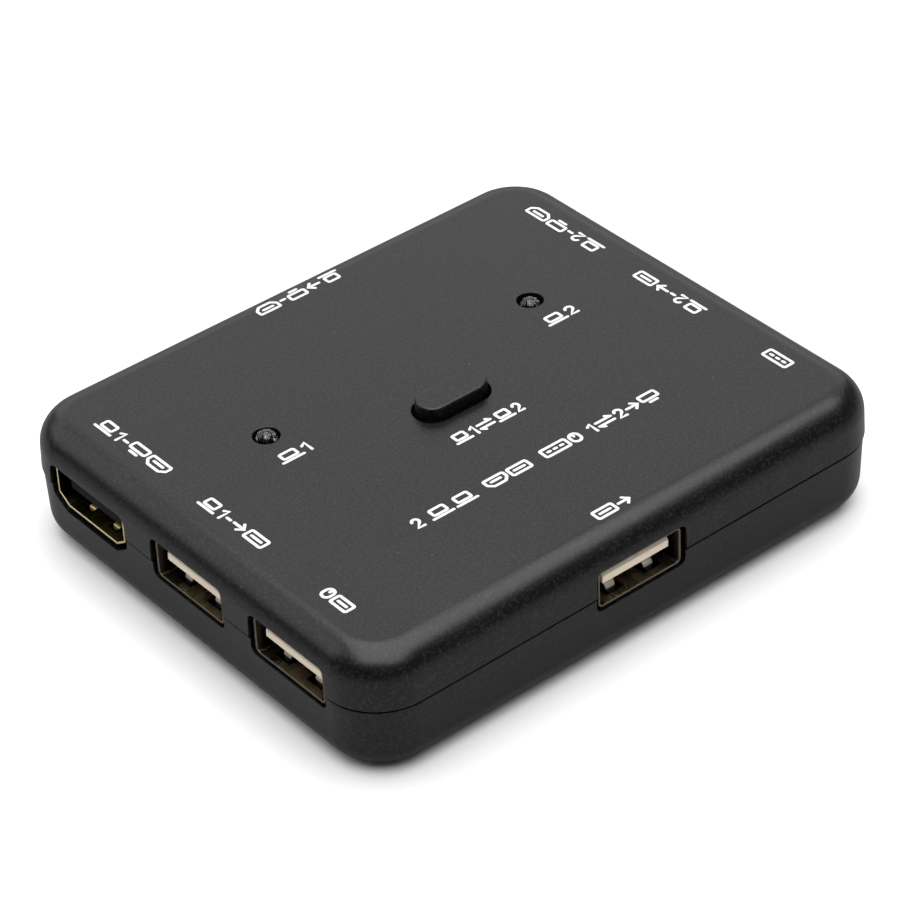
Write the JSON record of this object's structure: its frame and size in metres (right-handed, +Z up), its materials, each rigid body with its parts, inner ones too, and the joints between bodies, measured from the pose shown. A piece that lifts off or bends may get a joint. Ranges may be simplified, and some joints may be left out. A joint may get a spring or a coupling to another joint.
{
  "type": "kvm switch",
  "caption": "Small black box with soft edges that switches one screen, keyboard and mouse between two computers, with a push button, indicator lamps and sockets on all sides.",
  "frame": {"origin": "on the surface that the box stands on, below the centre of its bounding box", "axes": "+X along the long side, towards the sockets of computer 2; +Y towards the monitor socket at the rear; +Z up"},
  "size_m": [0.088, 0.0746, 0.0203],
  "materials": {
    "case_plastic": "satin black moulded plastic with a fine grain",
    "dark_plastic": "smooth black moulded plastic",
    "cream_plastic": "smooth cream moulded plastic",
    "clear_lens": "clear cast resin",
    "rubber": "matte",
    "steel": "bright zinc or tin plating",
    "nickel_plate": "nickel plating",
    "gold_plate": "gold-coloured plating",
    "board": "green solder mask on glass-fibre laminate"
  },
  "bodies": {
    "housing": {"bottom_cover": "case_plastic", "circuit_board": "board", "clock_crystal": "steel", "cover_screw_1": "steel", "cover_screw_2": "steel", "cover_screw_3": "steel", "cover_screw_4": "steel", "data_1_socket_contacts": "gold_plate", "data_1_socket_insert": "cream_plastic", "data_1_socket_shell": "nickel_plate", "data_2_socket_contacts": "gold_plate", "data_2_socket_insert": "cream_plastic", "data_2_socket_shell": "nickel_plate", "hub_chip": "dark_plastic", "hub_socket_contacts": "gold_plate", "hub_socket_insert": "cream_plastic", "hub_socket_shell": "nickel_plate", "keyboard_socket_contacts": "gold_plate", "keyboard_socket_insert": "cream_plastic", "keyboard_socket_shell": "nickel_plate", "lamp_1_lead_a": "steel", "lamp_1_lead_b": "steel", "lamp_1_lens": "clear_lens", "lamp_1_spacer": "dark_plastic", "lamp_2_lead_a": "steel", "lamp_2_lead_b": "steel", "lamp_2_lens": "clear_lens", "lamp_2_spacer": "dark_plastic", "monitor_socket_contacts": "gold_plate", "monitor_socket_insert": "dark_plastic", "monitor_socket_shell": "gold_plate", "mouse_socket_contacts": "gold_plate", "mouse_socket_insert": "cream_plastic", "mouse_socket_shell": "nickel_plate", "rubber_foot_1": "rubber", "rubber_foot_2": "rubber", "rubber_foot_3": "rubber", "rubber_foot_4": "rubber", "supply_capacitor_1": "steel", "supply_capacitor_2": "steel", "switch_base": "dark_plastic", "switch_dome": "steel", "switch_lead_1": "steel", "switch_lead_2": "steel", "switch_lead_3": "steel", "switch_lead_4": "steel", "switch_plate": "steel", "top_cover": "case_plastic", "video_1_socket_contacts": "gold_plate", "video_1_socket_insert": "dark_plastic", "video_1_socket_shell": "gold_plate", "video_2_socket_contacts": "gold_plate", "video_2_socket_insert": "dark_plastic", "video_2_socket_shell": "gold_plate", "video_switch_chip": "dark_plastic", "voltage_regulator": "dark_plastic"},
    "button": {"select_button": "case_plastic"},
    "plunger": {"switch_plunger": "dark_plastic"}
  },
  "joints": [
    {"name": "button_press", "type": "slide", "parent": "housing", "child": "button", "axis": [0, 0, -1], "range_m": [0, 0.0003], "stiffness_N_per_m": 5000, "springref_m": -0.00005},
    {"name": "plunger_press", "type": "slide", "parent": "housing", "child": "plunger", "axis": [0, 0, -1], "range_m": [0, 0.0003], "deforming": ["switch_dome"]}
  ],
  "couplings": [
    {"joint": "plunger_press", "follows": "button_press", "ratio": 1}
  ]
}
